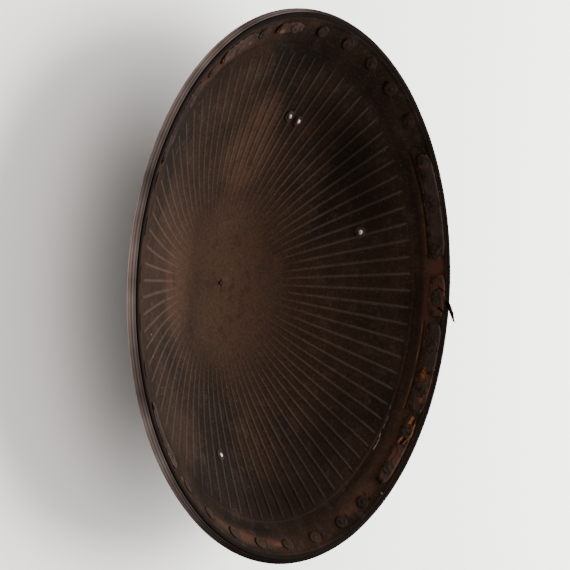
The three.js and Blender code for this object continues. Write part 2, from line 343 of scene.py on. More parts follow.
def turned_mesh(name: str, rings: list[tuple[float, float, float, float]], sides: int) -> Piece:
    """Makes a closed body from oval rings round the Z axis.

    Args:
        name: name of the object.
        rings: half width, half length, height and how worn each ring is, in order along the outside; worn
            rings get a painted glint.
        sides: how many points each ring has.

    Returns:
        An object with an attribute of how worn and glinting each point is.
    """
    turns = np.arange(sides) * 2 * math.pi / sides
    points = [(x * math.cos(turn), y * math.sin(turn), level) for x, y, level, _ in rings for turn in turns]
    wear = np.repeat([rubbed for *_, rubbed in rings], sides)
    return mesh_object(name, np.array(points), tube_faces(len(rings), sides), {"wear": wear})


def new_geometry_tree(name: str, values: dict[str, object]) -> tuple[Tree, bpy.types.NodeOutputs]:
    """Starts a geometry tree with a geometry and some named values coming in, and a geometry going out.

    Args:
        name: name of the tree.
        values: a value for each further input, by name, which gives its type.

    Returns:
        The tree and the sockets that its inputs come from.
    """
    tree = bpy.data.node_groups.new(name, "GeometryNodeTree")
    for way in ("INPUT", "OUTPUT"):
        tree.interface.new_socket("Geometry", in_out=way, socket_type="NodeSocketGeometry")
    for label, value in values.items():
        tree.interface.new_socket(label, in_out="INPUT", socket_type=SOCKET_TYPES[type(value)])
    return tree, tree.nodes.new("NodeGroupInput").outputs


def end_geometry_tree(tree: Tree, shape: Socket, material: Socket) -> None:
    """Makes a tree's instances real, gives them the material and lets them out.

    Args:
        tree: the geometry tree.
        shape: the geometry that is let out.
        material: the socket that the material comes from.
    """
    whole = add(tree, "GeometryNodeRealizeInstances", (shape,))
    dressed = add(tree, "GeometryNodeSetMaterial", {"Geometry": whole, "Material": material})
    add(tree, "NodeGroupOutput", (dressed,))


def grow(piece: Piece, tree: Tree, values: dict[str, object]) -> None:
    """Runs a geometry tree on a piece and keeps what it makes as the piece's own plain mesh.

    Args:
        piece: the object that the tree works on.
        tree: the geometry tree.
        values: a value for each named input.
    """
    modifier = piece.modifiers.new(tree.name, "NODES")
    modifier.node_group = tree
    for item in tree.interface.items_tree:
        if item.in_out == "INPUT" and item.name in values:
            modifier[item.identifier] = values[item.name]
    bpy.context.view_layer.update()
    evaluated = piece.evaluated_get(bpy.context.evaluated_depsgraph_get())
    mesh = bpy.data.meshes.new_from_object(evaluated)
    mesh.name = piece.name
    piece.modifiers.clear()
    piece.data = mesh


def new_surface(
    name: str, layers: tuple[str, ...], sizes: tuple[float, ...], harshness: float = 0.5
) -> tuple[bpy.types.Material, dict[str, Socket], list[Socket]]:
    """Starts a material with the layers and the noises that its colours are laid by.

    Args:
        name: the real material's name.
        layers: the mesh's attributes that it reads.
        sizes: how large the blots of each noise are, in millimetres.
        harshness: how strong the finer blots in each noise are.

    Returns:
        The material, its layers by name, and one noise for each size.
    """
    material = bpy.data.materials.new(name)
    material.use_nodes = True
    tree = material.node_tree
    tree.nodes.clear()
    place = add(tree, "ShaderNodeTexCoord", output="Object")
    found = {key: add(tree, "ShaderNodeAttribute", attribute_name=key, output="Fac") for key in layers}
    noises = []
    for size in sizes:
        grain = {"Vector": place, "Scale": 0.5 / (size * MM), "Detail": 4.0, "Roughness": harshness}
        noises.append(add(tree, NOISE, grain))
    return material, found, noises


def covered(tree: Tree, lowest: str, covers: tuple[tuple[Socket, str, float, float, float], ...]) -> Socket:
    """Lays shades over one another, each where its cover is strong.

    Args:
        tree: the material's tree.
        lowest: the shade under all the others.
        covers: for each shade its cover, the shade, where the cover starts to show, where it shows
            fully, and the most that it hides.

    Returns:
        The colour that is seen.
    """
    colour = linear(lowest)
    for cover, shade, low, high, most in covers:
        limits = {"Value": cover, "From Min": low, "From Max": high, "To Max": most}
        share = add(tree, MAP_RANGE, limits, interpolation_type="SMOOTHSTEP")
        mixed = {0: share, MIX_A: colour, MIX_B: linear(shade)}
        colour = add(tree, "ShaderNodeMix", mixed, MIX_RESULT, data_type="RGBA")
    return colour


def end_surface(tree: Tree, finish: dict[str, object], height: Socket, strength: float, depth: float) -> None:
    """Adds the bump, the shader and the output that a material ends in.

    Args:
        tree: the material's tree.
        finish: the shader's inputs but the bump.
        height: what the bump rises and falls with.
        strength: how strongly the bump shows.
        depth: the bump's depth in millimetres.
    """
    bump = add(tree, "ShaderNodeBump", {"Height": height, "Strength": strength, "Distance": depth * MM})
    shader = add(tree, "ShaderNodeBsdfPrincipled", {**finish, "Normal": bump})
    add(tree, "ShaderNodeOutputMaterial", {"Surface": shader})


@dataclass(frozen=True)
class PatinatedIron:
    """Hammered iron sheet, browned by age. Forging leaves black scale, and rust and old wax turn it brown.

    To the eye it is a dull brown, nearly black, because the scale is an oxide and not bare metal. It is
    lighter brown where it was handled, and a painted sheen lightens the centre and the lit side. The light
    lines along the ridges are worn metal with a painted sheen, the rim's bare metal carries a painted
    highlight, and painted shade darkens the creases, the sides away from the light and the places beside the
    washers and leather.
    """

    dark: str = "#130e0b"
    brown: str = "#201610"
    pale: str = "#2e2018"
    # Lighter brown for random mottle and for the ridges' lines, where it is wear and also a painted sheen.
    rubbed: str = "#3c322c"
    rust: str = "#36211a"
    orange: str = "#5d3f26"
    rim: str = "#0e0907"
    # Painted shade: creases, the sides away from the light, and shadows beside the washers and the leather.
    soot: str = "#080605"
    # Bare metal in the scratches, and on the rim bare metal with a painted highlight.
    bare: str = "#9d8b85"
    cloud_size: float = 46.0
    mottle_size: float = 7.0
    speck_size: float = 1.3
    specular: float = 0.0008
    roughness: float = 0.6
    roughness_spread: float = 0.08
    rim_smoothing: float = 0.95
    mottle_height: float = 1.6
    bump: float = 0.5
    bump_depth: float = 0.3

    def material(self) -> bpy.types.Material:
        """Builds the material.

        Returns:
            The finished material, which reads Object coordinates and the plate's own attributes.
        """
        sizes = (self.cloud_size, self.mottle_size, self.speck_size)
        material, layer, (clouds, mottle, specks) = new_surface("patinated_iron", PLATE_LAYERS, sizes)
        tree = material.node_tree
        broken = {
            key: add(tree, MATH, (layer[key], mottle), operation="MULTIPLY")
            for key in ("pale", "ridge", "rust", "orange", "scratch")
        }
        covers = (
            (clouds, self.brown, 0.34, 0.62, 1.0),
            # Handling wear together with a painted sheen on the centre and the lit side.
            (broken["pale"], self.pale, 0.04, 0.4, 1.0),
            # The ridges' lines: wear together with a painted sheen.
            (broken["ridge"], self.rubbed, 0.03, 0.34, 0.5),
            (mottle, self.dark, 0.48, 0.72, 0.35),
            (mottle, self.rubbed, 0.46, 0.28, 0.15),
            (specks, self.dark, 0.5, 0.7, 0.38),
            (specks, self.rubbed, 0.46, 0.28, 0.24),
            (broken["rust"], self.rust, 0.1, 0.42, 1.0),
            (layer["rim"], self.rim, 0.0, 1.0, 1.0),
            # Painted shade.
            (layer["soot"], self.soot, 0.0, 1.0, 0.8),
            (broken["orange"], self.orange, 0.16, 0.5, 0.9),
            (broken["scratch"], self.bare, 0.1, 0.42, 1.0),
            # Painted highlight on the rim, partly bare metal.
            (layer["shine"], self.bare, 0.0, 1.0, 0.9),
        )
        low, high = self.roughness - self.roughness_spread, self.roughness + self.roughness_spread
        uneven = add(tree, MAP_RANGE, {"Value": mottle, "To Min": low, "To Max": high})
        smoother = {"Value": layer["rim"], "To Min": 1.0, "To Max": self.rim_smoothing}
        rough = add(tree, MATH, (uneven, add(tree, MAP_RANGE, smoother)), operation="MULTIPLY")
        finish = {"Roughness": rough, "Specular IOR Level": self.specular}
        finish["Base Color"] = covered(tree, self.dark, covers)
        height = add(tree, MATH, (mottle, self.mottle_height, specks), operation="MULTIPLY_ADD")
        end_surface(tree, finish, height, self.bump, self.bump_depth)
        return material


@dataclass(frozen=True)
class ForgedRivetIron:
    """Forged iron rivets and washers cut from sheet, left dark from the fire and browned by age.

    To the eye they are the same dull brown as the plate, a little greyer, and worn ends are bare metal with a
    painted glint.
    """

    name: str = "forged_rivet_iron"
    dark: str = "#15100d"
    light: str = "#211814"
    dusty: str = "#231a14"
    # Painted glint on worn ends, partly bare metal.
    bright: str = "#8a8076"
    specular: float = 0.0015
    roughness: float = 0.6
    smoothest: float = 0.1
    roughest: float = 0.12
    mottle_size: float = 2.4
    harshness: float = 0.65
    metallic: float = 0.4
    bump: float = 0.6
    bump_depth: float = 0.35

    def material(self) -> bpy.types.Material:
        """Builds the material.

        Returns:
            The finished material, which reads Object coordinates and the rivets' attributes for worn,
            glinting places and for dust.
        """
        names = ("wear", "dust")
        material, layer, (mottle,) = new_surface(self.name, names, (self.mottle_size,), self.harshness)
        tree = material.node_tree
        rubbed, dusted = (add(tree, MATH, (layer[key], mottle), operation="MULTIPLY") for key in names)
        covers = (
            (mottle, self.light, 0.36, 0.66, 1.0),
            (dusted, self.dusty, 0.2, 0.6, 1.0),
            # Worn ends: bare metal with a painted glint.
            (rubbed, self.bright, 0.25, 0.5, 1.0),
        )
        limits = {"Value": rubbed, "From Min": 0.25, "From Max": 0.5, "To Max": self.metallic}
        bare = add(tree, MAP_RANGE, limits)
        low, high = self.roughness - self.smoothest, self.roughness + self.roughest
        rough = add(tree, MAP_RANGE, {"Value": mottle, "To Min": low, "To Max": high})
        finish = {"Metallic": bare, "Roughness": rough, "Specular IOR Level": self.specular}
        finish["Base Color"] = covered(tree, self.dark, covers)
        end_surface(tree, finish, mottle, self.bump, self.bump_depth)
        return material


@dataclass(frozen=True)
class OldLeather:
    """Tanned cowhide that has dried out and split.

    To the eye the grain side is a dull purplish grey, reddish brown where the grain is gone, and torn
    edges show light orange brown fibres. Painted shade darkens the strips' outer edges and the place under
    the torn sliver.
    """

    brown: str = "#1e1511"
    mauve: str = "#2a1f1b"
    grey: str = "#231e1b"
    tan: str = "#37231b"
    torn: str = "#76491f"
    # Dark creases and cracks, and painted shade at the strips' outer edges and under the sliver.
    dark: str = "#060403"
    patch_size: float = 11.0
    crease_size: float = 3.4
    fibre_size: float = 1.2
    specular: float = 0.003
    roughness: float = 0.66
    crease_height: float = 1.8
    bump: float = 0.6
    bump_depth: float = 0.4

    def material(self) -> bpy.types.Material:
        """Builds the material.

        Returns:
            The finished material, which reads Object coordinates and the strips' own attributes.
        """
        sizes = (self.patch_size, self.crease_size, self.fibre_size)
        material, layer, (patches, creases, fibres) = new_surface("old_leather", LEATHER_LAYERS, sizes)
        tree = material.node_tree
        split = add(tree, MATH, (layer["torn"], fibres), operation="MULTIPLY")
        covers = (
            (patches, self.mauve, 0.38, 0.6, 1.0),
            (layer["grey"], self.grey, 0.1, 0.9, 1.0),
            (layer["tan"], self.tan, 0.1, 0.9, 1.0),
            (creases, self.dark, 0.56, 0.7, 0.5),
            (creases, self.mauve, 0.42, 0.3, 0.6),
            (split, self.torn, 0.15, 0.6, 0.95),
            # Cracks, and painted shade at the outer edges and under the sliver.
            (layer["dark"], self.dark, 0.1, 0.8, 0.95),
        )
        finish = {"Roughness": self.roughness, "Specular IOR Level": self.specular}
        finish["Base Color"] = covered(tree, self.brown, covers)
        height = add(tree, MATH, (creases, self.crease_height, fibres), operation="MULTIPLY_ADD")
        end_surface(tree, finish, height, self.bump, self.bump_depth)
        return material


@dataclass(frozen=True)
class Patch:
    """A soft stain or worn place. It reaches so far across, in millimetres, and along, in degrees."""

    layer: str
    radius: float
    turn: float
    across: float
    along: float
    strength: float = 1.0


def patches_of(**places: tuple[tuple[float, ...], ...]) -> tuple[Patch, ...]:
    """Makes patches from the radius, turn, reach across, reach along and strength of each, by layer."""
    return tuple(Patch(layer, *sizes) for layer, rows in places.items() for sizes in rows)


@dataclass(frozen=True)
class Line:
    """A thin mark along a path of radii and turns."""

    layer: str
    path: tuple[tuple[float, float], ...]
    width: float
    strength: float = 1.0


def painted(
    points: np.ndarray, layers: tuple[str, ...], patches: tuple[Patch, ...], lines: tuple[Line, ...]
) -> dict[str, np.ndarray]:
    """How strongly each layer of stains and marks shows at each point.

    Args:
        points: places in millimetres.
        layers: the layers' names.
        patches: the soft stains.
        lines: the thin marks.

    Returns:
        Values from 0 to 1 for each layer.
    """
    radius = np.hypot(points[:, 0], points[:, 1])
    turn = np.degrees(np.arctan2(points[:, 1], points[:, 0]))
    values = {key: np.zeros(len(points)) for key in layers}
    for patch in patches:
        away = apart(turn, patch.turn) / patch.along
        share = smooth(np.hypot((radius - patch.radius) / patch.across, away), 1.0, 0.0)
        values[patch.layer] = np.maximum(values[patch.layer], patch.strength * share)
    for line in lines:
        nearest = np.full(len(points), np.inf)
        for (radius_a, turn_a), (radius_b, turn_b) in zip(line.path, line.path[1:]):
            across = radius - radius_a
            along = np.radians(apart(turn, turn_a)) * radius
            reach = radius_b - radius_a
            run = math.radians(turn_b - turn_a) * (radius_a + radius_b) / 2
            share = np.clip((across * reach + along * run) / (reach**2 + run**2), 0, 1)
            nearest = np.minimum(nearest, np.hypot(across - share * reach, along - share * run))
        share = smooth(nearest, line.width, MARK_CORE)
        values[line.layer] = np.maximum(values[line.layer], line.strength * share)
    return values


@dataclass
class IronPlate:
    """The shield's body: a dish of hammered sheet with flutes, a plain border and a rolled rim."""

    profile: Profile
    washers: tuple[tuple[float, float], ...]
    flute_count: int = 82
    flute_height: float = 1.0
    ridge_width: float = 4.4
    ridge_share: float = 0.5
    ridge_sharpness: float = 1.35
    flute_start_radius: float = 50.0
    flute_rise: float = 110.0
    flute_runout: float = 7.0
    flute_past_line: float = 3.0
    flute_turn: float = 0.4
    flute_crowding: float = 1.2
    panel_hollow: float = 0.2
    hammer_depth: float = 0.22
    hammer_size: float = 26.0
    hammer_seed: float = 3.0
    line_height: float = 0.2
    line_width: float = 2.6
    line_shoulder: float = 0.5
    seam_height: float = 0.5
    groove_turn: float = 66.0
    groove_depth: float = 0.6
    groove_width: float = 3.5
    hole_sink: float = 0.4
    hole_foot: float = 0.5
    shadow_half: float = 5.0
    shadow_turn: float = 2.4
    shadow_end_turn: float = 1.9
    shadow_width: float = 1.5
    column_shares: tuple[float, ...] = (0.0, 0.045, 0.10, 0.18, 0.32, 0.5, 0.68, 0.82, 0.90, 0.955)
    roll_turns: tuple[float, ...] = (
        *(117.5, 110, 101, 92, 84, 77, 72, 69, 66, 63, 60, 54, 45),
        *(33, 19, 4, -14, -33, -53, -74, -96, -118, -140, -162, -182, -199),
    )
    patches: tuple[Patch, ...] = patches_of(
        # Handling wear, and a painted sheen on the centre and the lit left side, with a painted highlight
        # along the crease.
        pale=(
            (0, 0, 170, 360, 1.0), (95, 180, 85, 80, 0.8), (60, 85, 70, 75, 0.8), (125, 90, 75, 30, 1.0),
            (168, 88, 50, 15, 1.0), (238.3, -60, 1.8, 140, 0.6), (254, -15, 18, 80, 1.0),
            (120, 165, 120, 70, 0.45), (260, -102, 9, 26, 1.0),
        ),
        rust=(
            (75, 15, 60, 50, 0.35), (184, 18, 22, 8, 0.45), (177, 64, 26, 12, 0.5),
            (261, 6.0, 15, 5.0, 1.0), (258, -58, 14, 16, 0.6), (254, -2, 10, 9, 0.9),
            (257, -40, 12, 14, 0.7), (258, -95, 12, 40, 0.5), (256, 120, 14, 36, 0.6),
        ),
        orange=(
            (256, -31, 6, 7, 0.55), (251, -2, 4, 9, 0.3), (255, -139, 9, 9, 0.5), (256, -118, 8, 8, 0.3),
            (262, -131, 6, 2.2, 0.8), (258, 98, 10, 5, 0.6), (258, 112, 10, 6, 0.6),
            (260, -88, 7, 9, 0.5), (259, -106, 7, 6, 0.5),
        ),
        # Painted shade: along the creases, round the centre hole, beside the leather and over the sides away
        # from the light.
        soot=(
            (243.5, -15, 4.5, 75, 0.3), (243, -90, 3.4, 110, 0.75), (247, -98, 8, 42, 0.75),
            (243, 60, 2.8, 80, 0.6), (247, 112, 7, 30, 0.6), (225, -80, 62, 44, 0.8),
            (235, -118, 40, 26, 0.6), (240, 78, 46, 40, 0.7), (236, 114, 36, 32, 0.5),
            (232, 172, 70, 80, 0.16), (195, 48, 62, 80, 0.7), (200, -60, 60, 60, 0.55),
            (0, 0, 5.5, 360, 0.9), (246.5, 0, 6, 75, 0.55),
        ),
    )
    lines: tuple[Line, ...] = (
        Line("orange", ((250.2, 33), (251.2, 20), (251.6, 9)), 1.1, 0.65),
        # Painted shadow beside the leather's inner edge.
        Line("soot", ((252.4, 34), (253.2, 20), (253.0, 8)), 1.2, 0.9),
        Line("orange", ((250.6, -7), (250.6, -28)), 1.2, 0.7),
        # Painted shadow beside the leather's inner edge.
        Line("soot", ((252.4, -6.6), (252.4, -28)), 1.2, 0.9),
        # Painted shadow past the upper strip's end.
        Line("soot", ((251, 34), (256, 35.5), (262, 34)), 1.4, 0.8),
        Line("scratch", ((238.5, -29), (240.5, -33), (239.5, -36.5), (241.5, -39), (241, -42)), 1.0, 0.42),
        Line("scratch", ((268, -49.6), (275, -50.4)), 1.0, 0.4),
        Line("scratch", ((205, -166), (200, -163), (212, -160), (204, -156)), 1.5, 0.4),
        Line("scratch", ((196, -150), (204, -147), (212, -147)), 1.4, 0.36),
    )
    rim_from: float = -1.5
    rim_to: float = 1.0
    edge_turn: float = -48.0
    edge_width: float = 22.0
    edge_shine: float = 1.0
    edge_shine_reach: float = 78.0
    side_turns: tuple[float, float] = (74.0, 56.0)
    side_shine: float = 0.34
    side_shine_reach: float = 110.0
    stripe_strength: float = 0.35
    stripe_width: float = 4.5
    shine_turn: float = 165.0
    shine_core: float = 0.4
    shine_unevenness: float = 0.3
    shine_patch: float = 40.0
    shine_seed: int = 21

    def column_turns(self) -> np.ndarray:
        """Directions of the mesh's columns, crowded round each ridge.

        Returns:
            Turns in radians, in order.
        """
        index = np.arange(self.flute_count)[:, None] + np.array(self.column_shares)[None, :]
        even = math.radians(self.flute_turn) + index.ravel() * 2 * math.pi / self.flute_count
        return even - math.radians(self.flute_crowding) * np.sin(2 * even)

    def rings(self) -> tuple[list[tuple[float, float]], list[tuple[float, float]], list[tuple[float, float]]]:
        """Lays the rings of the section, from the centre hole out over the rim and back in underneath.

        Returns:
            Radius and height of each ring of the inner face, of the rolled rim and of the outer face.
        """
        p = self.profile
        start = p.centre_hole / 2
        middle = (start, start + 0.5, start + 1.4, 5.4, 7.5, 10, 15, 20, 24, 30)
        radii = (*middle, *np.arange(37, 230, 6.6), 233.5, 236.5, 238.6)
        inner = [(float(radius), float(p.level(radius))) for radius in radii]
        inner[0] = (start, p.sheet - self.hole_sink)
        # The raised line: each ring's distance from its middle, and its share of the height.
        half, shoulder = self.line_width / 2, self.line_shoulder
        line = ((-half, 0.1), (-shoulder * 0.9, 0.85), (0.0, 1.0), (shoulder, 0.85), (half, 0.1))
        for offset, rise in line:
            radius = p.border_start + offset
            inner.append((radius, float(p.level(radius)) + rise * self.line_height))
        # Rings lie closer where the lining's edge left thin stains, and at the seam.
        near_leather = (248.0, 249.3, 250.3, 251.3, 252.3, 253.4, 255.5, 258.0)
        for radius in (244.3, 246.3, *near_leather, 261.0, 264.0, 266.4, 267.8, 268.6, 269.4, 270.2):
            seam = self.seam_height * float(smooth(np.array(radius), 268.0, 269.0))
            inner.append((radius, float(p.level(radius)) + seam))
        roll = []
        for turn in self.roll_turns:
            away = (turn - self.groove_turn) / self.groove_width
            reach = p.roll_radius - self.groove_depth * math.exp(-(away**2))
            across, up = reach * math.cos(math.radians(turn)), reach * math.sin(math.radians(turn))
            roll.append((p.roll_middle + across, p.roll_level + up))
        outer = []
        border = (264, 255, 246, 243, 240, 236, 229)
        for radius in (*border, *np.arange(215, 30, -18.5), 26, 22, 16, start + 0.6):
            drop = p.sheet / math.cos(float(p.slope(radius)))
            outer.append((float(radius), float(p.level(radius)) - drop))
        outer.append((start, self.hole_foot))
        return inner, roll, outer

    def shadows(self) -> tuple[Line, ...]:
        """Draws the painted shadow that lies along one side of each washer.

        Returns:
            A line for each washer.
        """
        lines = []
        for radius, turn in self.washers:
            end = turn + self.shadow_end_turn
            path = (
                (radius - self.shadow_half, end),
                (radius, turn + self.shadow_turn),
                (radius + self.shadow_half, end),
            )
            lines.append(Line("soot", path, self.shadow_width))
        return tuple(lines)

    def shine(self, turn: np.ndarray, columns: int) -> np.ndarray:
        """How strongly the rolled rim shows bare metal with a painted highlight, along its outer edge and
        down its side.

        Args:
            turn: direction of each of the rim's points in degrees.
            columns: how many points each ring has.

        Returns:
            Values from 0 to about 1.
        """
        section = np.repeat(self.roll_turns, columns)
        away = np.abs(apart(turn, self.shine_turn))
        edge_reach, side_reach = self.edge_shine_reach, self.side_shine_reach
        edge = np.exp(-(((section - self.edge_turn) / self.edge_width) ** 2))
        edge *= smooth(away, edge_reach, edge_reach * self.shine_core)
        side = smooth(section, *self.side_turns) * smooth(away, side_reach, side_reach * self.shine_core)
        # Painted light and dark stripes along the side.
        side *= 1 + self.stripe_strength * np.sin(section / self.stripe_width)
        shine = np.maximum(self.edge_shine * edge, self.side_shine * side)
        return shine * (1 + self.shine_unevenness * wave(turn / self.shine_patch, self.shine_seed))

    def layers(self, points: np.ndarray, inside: int, columns: int) -> dict[str, np.ndarray]:
        """How strongly each stain, painted shade and painted highlight shows at each point.

        Args:
            points: places in millimetres, the inner face first, then the rolled rim and the outer face.
            inside: how many of them are on the inner face.
            columns: how many points each ring has.

        Returns:
            Values for each layer but the ridges, which their own tree writes.
        """
        names = tuple(key for key in PLATE_LAYERS if key != "ridge")
        values = painted(points, names, self.patches, self.lines + self.shadows())
        for key in names:
            values[key][inside:] = 0
        crest = self.profile.crest
        radius = np.hypot(points[:, 0], points[:, 1])
        values["rim"] = smooth(radius, crest + self.rim_from, crest + self.rim_to)
        roll = slice(inside, inside + len(self.roll_turns) * columns)
        turn = np.degrees(np.arctan2(points[roll, 1], points[roll, 0]))
        # The rim's painted highlight.
        values["shine"][roll] = self.shine(turn, columns)
        return values

    def flutes(self, values: dict[str, object]) -> Tree:
        """The tree that raises the ridges, hollows the panels between them and hammers the whole sheet.

        Args:
            values: a value for each named input.

        Returns:
            The geometry tree.
        """
        tree, get = new_geometry_tree("flutes", values)
        split = add(tree, "ShaderNodeSeparateXYZ", (add(tree, "GeometryNodeInputPosition"),)).node.outputs
        flat = add(tree, "ShaderNodeCombineXYZ", (split[0], split[1]))
        scale = add(tree, MATH, (0.5, get["Hammer size"]), operation="DIVIDE")
        blows = {"Vector": flat, "W": get["Seed"], "Scale": scale, "Detail": 1.5}
        # Each step has a name, an operation, and the names or numbers that it works on.
        known = {name: get[name] for name in values}
        known["across"], known["along"] = split[0], split[1]
        known["radius"] = add(tree, "ShaderNodeVectorMath", (flat,), "Value", operation="LENGTH")
        known["beaten"] = add(tree, NOISE, blows, noise_dimensions="4D")
        for name, operation, *parts in (
            ("turn", "ARCTAN2", "along", "across"),
            ("double", "MULTIPLY", "turn", 2.0),
            ("sine", "SINE", "double"),
            ("crowd", "MULTIPLY_ADD", "sine", "Crowding", "turn"),
            ("even", "SUBTRACT", "crowd", "Turn"),
            ("per", "DIVIDE", "Count", 2 * math.pi),
            ("index", "MULTIPLY", "even", "per"),
            ("nearest", "ROUND", "index"),
            ("off", "SUBTRACT", "index", "nearest"),
            ("share", "ABSOLUTE", "off"),
            ("pitch", "DIVIDE", "radius", "per"),
            ("away", "MULTIPLY", "share", "pitch"),
            ("crowded", "MULTIPLY", "pitch", "Share"),
            ("width", "MINIMUM", "Width", "crowded"),
            ("half", "MULTIPLY", "width", 0.5),
            ("near", "DIVIDE", "away", "half"),
            ("inward", "SUBTRACT", 1.0, "near"),
            ("slant", "MAXIMUM", "inward", 0.0),
            ("peak", "POWER", "slant", "Sharpness"),
            ("grown end", "ADD", "Start", "Rise"),
            ("grown", "SMOOTHSTEP", "radius", "Start", "grown end"),
            ("run end", "SUBTRACT", "End", "Runout"),
            ("stopped", "SMOOTHSTEP", "radius", "End", "run end"),
            ("alive", "MULTIPLY", "grown", "stopped"),
            ("rubbed", "MULTIPLY", "slant", "alive"),
            ("ridge", "MULTIPLY", "peak", "alive"),
            ("raised", "MULTIPLY", "ridge", "Height"),
            ("square", "MULTIPLY", "share", "share"),
            ("bowl", "MULTIPLY_ADD", "square", 4.0, -1.0),
            ("panel", "MULTIPLY", "bowl", "alive"),
            ("bent", "MULTIPLY_ADD", "panel", "Hollow", "raised"),
            ("centred", "SUBTRACT", "beaten", 0.5),
            ("dents", "MULTIPLY", "centred", 4.0),
            ("lift", "MULTIPLY_ADD", "dents", "Hammer depth", "bent"),
        ):
            eased = operation == "SMOOTHSTEP"
            kind, setting = (MAP_RANGE, "interpolation_type") if eased else (MATH, "operation")
            sources = tuple(known.get(part, part) for part in parts)
            known[name] = add(tree, kind, sources, **{setting: operation})
        # The ridges' light lines for the material: wear together with a painted sheen.
        written = {"Geometry": get["Geometry"], "Name": "ridge", "Value": known["rubbed"]}
        kept = add(tree, "GeometryNodeStoreNamedAttribute", written, data_type="FLOAT", domain="POINT")
        offset = add(tree, "ShaderNodeCombineXYZ", {"Z": known["lift"]})
        moved = add(tree, "GeometryNodeSetPosition", {"Geometry": kept, "Offset": offset})
        end_geometry_tree(tree, moved, get["Material"])
        return tree

    def build(self, finish: PatinatedIron) -> Piece:
        """Builds and dresses the plate.

        Args:
            finish: the iron's finish.

        Returns:
            The finished piece.
        """
        inner, roll, outer = self.rings()
        rings = inner + roll + outer
        turns = self.column_turns()
        radius, level = (np.array(values)[:, None] for values in zip(*rings))
        across, along = radius * np.cos(turns), radius * np.sin(turns)
        points = np.stack([across, along, level * np.ones_like(across)], axis=-1).reshape(-1, 3)
        faces = band_faces(len(rings), len(turns), ring_loop=True)[:, ::-1].tolist()
        layers = self.layers(points, len(inner) * len(turns), len(turns))
        piece = mesh_object("iron_dish", points, faces, layers)
        material = finish.material()
        piece.data.materials.append(material)
        values = {
            "Count": float(self.flute_count),
            "Turn": math.radians(self.flute_turn),
            "Crowding": math.radians(self.flute_crowding),
            "Height": self.flute_height * MM,
            "Width": self.ridge_width * MM,
            "Share": self.ridge_share,
            "Sharpness": self.ridge_sharpness,
            "Start": self.flute_start_radius * MM,
            "Rise": self.flute_rise * MM,
            "End": (self.profile.border_start - self.flute_runout + self.flute_past_line) * MM,
            "Runout": self.flute_runout * MM,
            "Hollow": self.panel_hollow * MM,
            "Hammer depth": self.hammer_depth * MM,
            "Hammer size": self.hammer_size * MM,
            "Seed": self.hammer_seed,
            "Material": material,
        }
        grow(piece, self.flutes(values), values)
        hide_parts("iron_plate")
        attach(piece, "root")
        return piece


@dataclass(frozen=True)
class RivetForm:
    """One rivet with its washer, seen in section. Its seat is at 0, with the inside of the shield above."""

    sheet: float
    under: float
    shank: float = 4.0
    head: float = 9.0
    head_height: float = 2.4
    washer_length: float = 18.0
    washer_width: float = 12.5
    washer_thickness: float = 0.8
    end_width: float = 5.0
    end_height: float = 0.3
    # How worn the head and end are; the worn metal also gets a painted glint.
    wear: float = 0.25
    washer_wear_and_glint: float = 0.0
    sides: int = 26

    def build(self, name: str) -> Piece:
        """Builds the rivet as rings from the head's middle outside to the hammered end's middle inside.

        Args:
            name: name of the object.

        Returns:
            An object round the origin, with an attribute of how worn and glinting each point is.
        """
        below = -self.sheet - POINT_RADIUS
        under, thick, rise, worn = self.under, self.washer_thickness, self.end_height, self.washer_wear_and_glint
        top = under + thick
        sizes = (self.shank, self.washer_width, self.washer_length, self.end_width)
        shank, wide, long, end = (size / 2 for size in sizes)
        # Half width, half length, height and how worn each ring is, where worn metal gets a painted glint.
        rings = [(POINT_RADIUS, POINT_RADIUS, below - self.head_height, self.wear)]
        for share, height, wear in ((0.4, 0.93, 0.8), (0.72, 0.7, 0.5), (0.93, 0.35, 0.3)):
            head = self.head / 2 * share
            rings.append((head, head, below - self.head_height * height, wear * self.wear))
        head = self.head / 2
        rings += [
            (head, head, below - 0.15, 0.1 * self.wear),
            (head * 0.97, head * 0.97, below, 0.0),
            (shank, shank, below, 0.0),
            (shank, shank, under, 0.0),
            (wide * 0.96, long * 0.96, under, 0.0),
            (wide, long, under + 0.3 * thick, 0.5 * worn),
            (wide * 0.97, long * 0.97, under + 0.8 * thick, worn),
            (wide * 0.88, long * 0.9, top, worn),
            (wide * 0.66, long * 0.66, top + 0.04, 0.8 * worn),
            (end + 0.5, end + 0.9, top + 0.06, 0.5 * worn),
            (end, end * 1.1, top + 0.25 * rise, 0.6 * self.wear),
            (end * 0.82, end * 0.9, top + 0.7 * rise, 0.9 * self.wear),
            (end * 0.5, end * 0.55, top + 0.95 * rise, self.wear),
            (POINT_RADIUS, POINT_RADIUS, top + rise, self.wear),
        ]
        return turned_mesh(name, rings, self.sides)


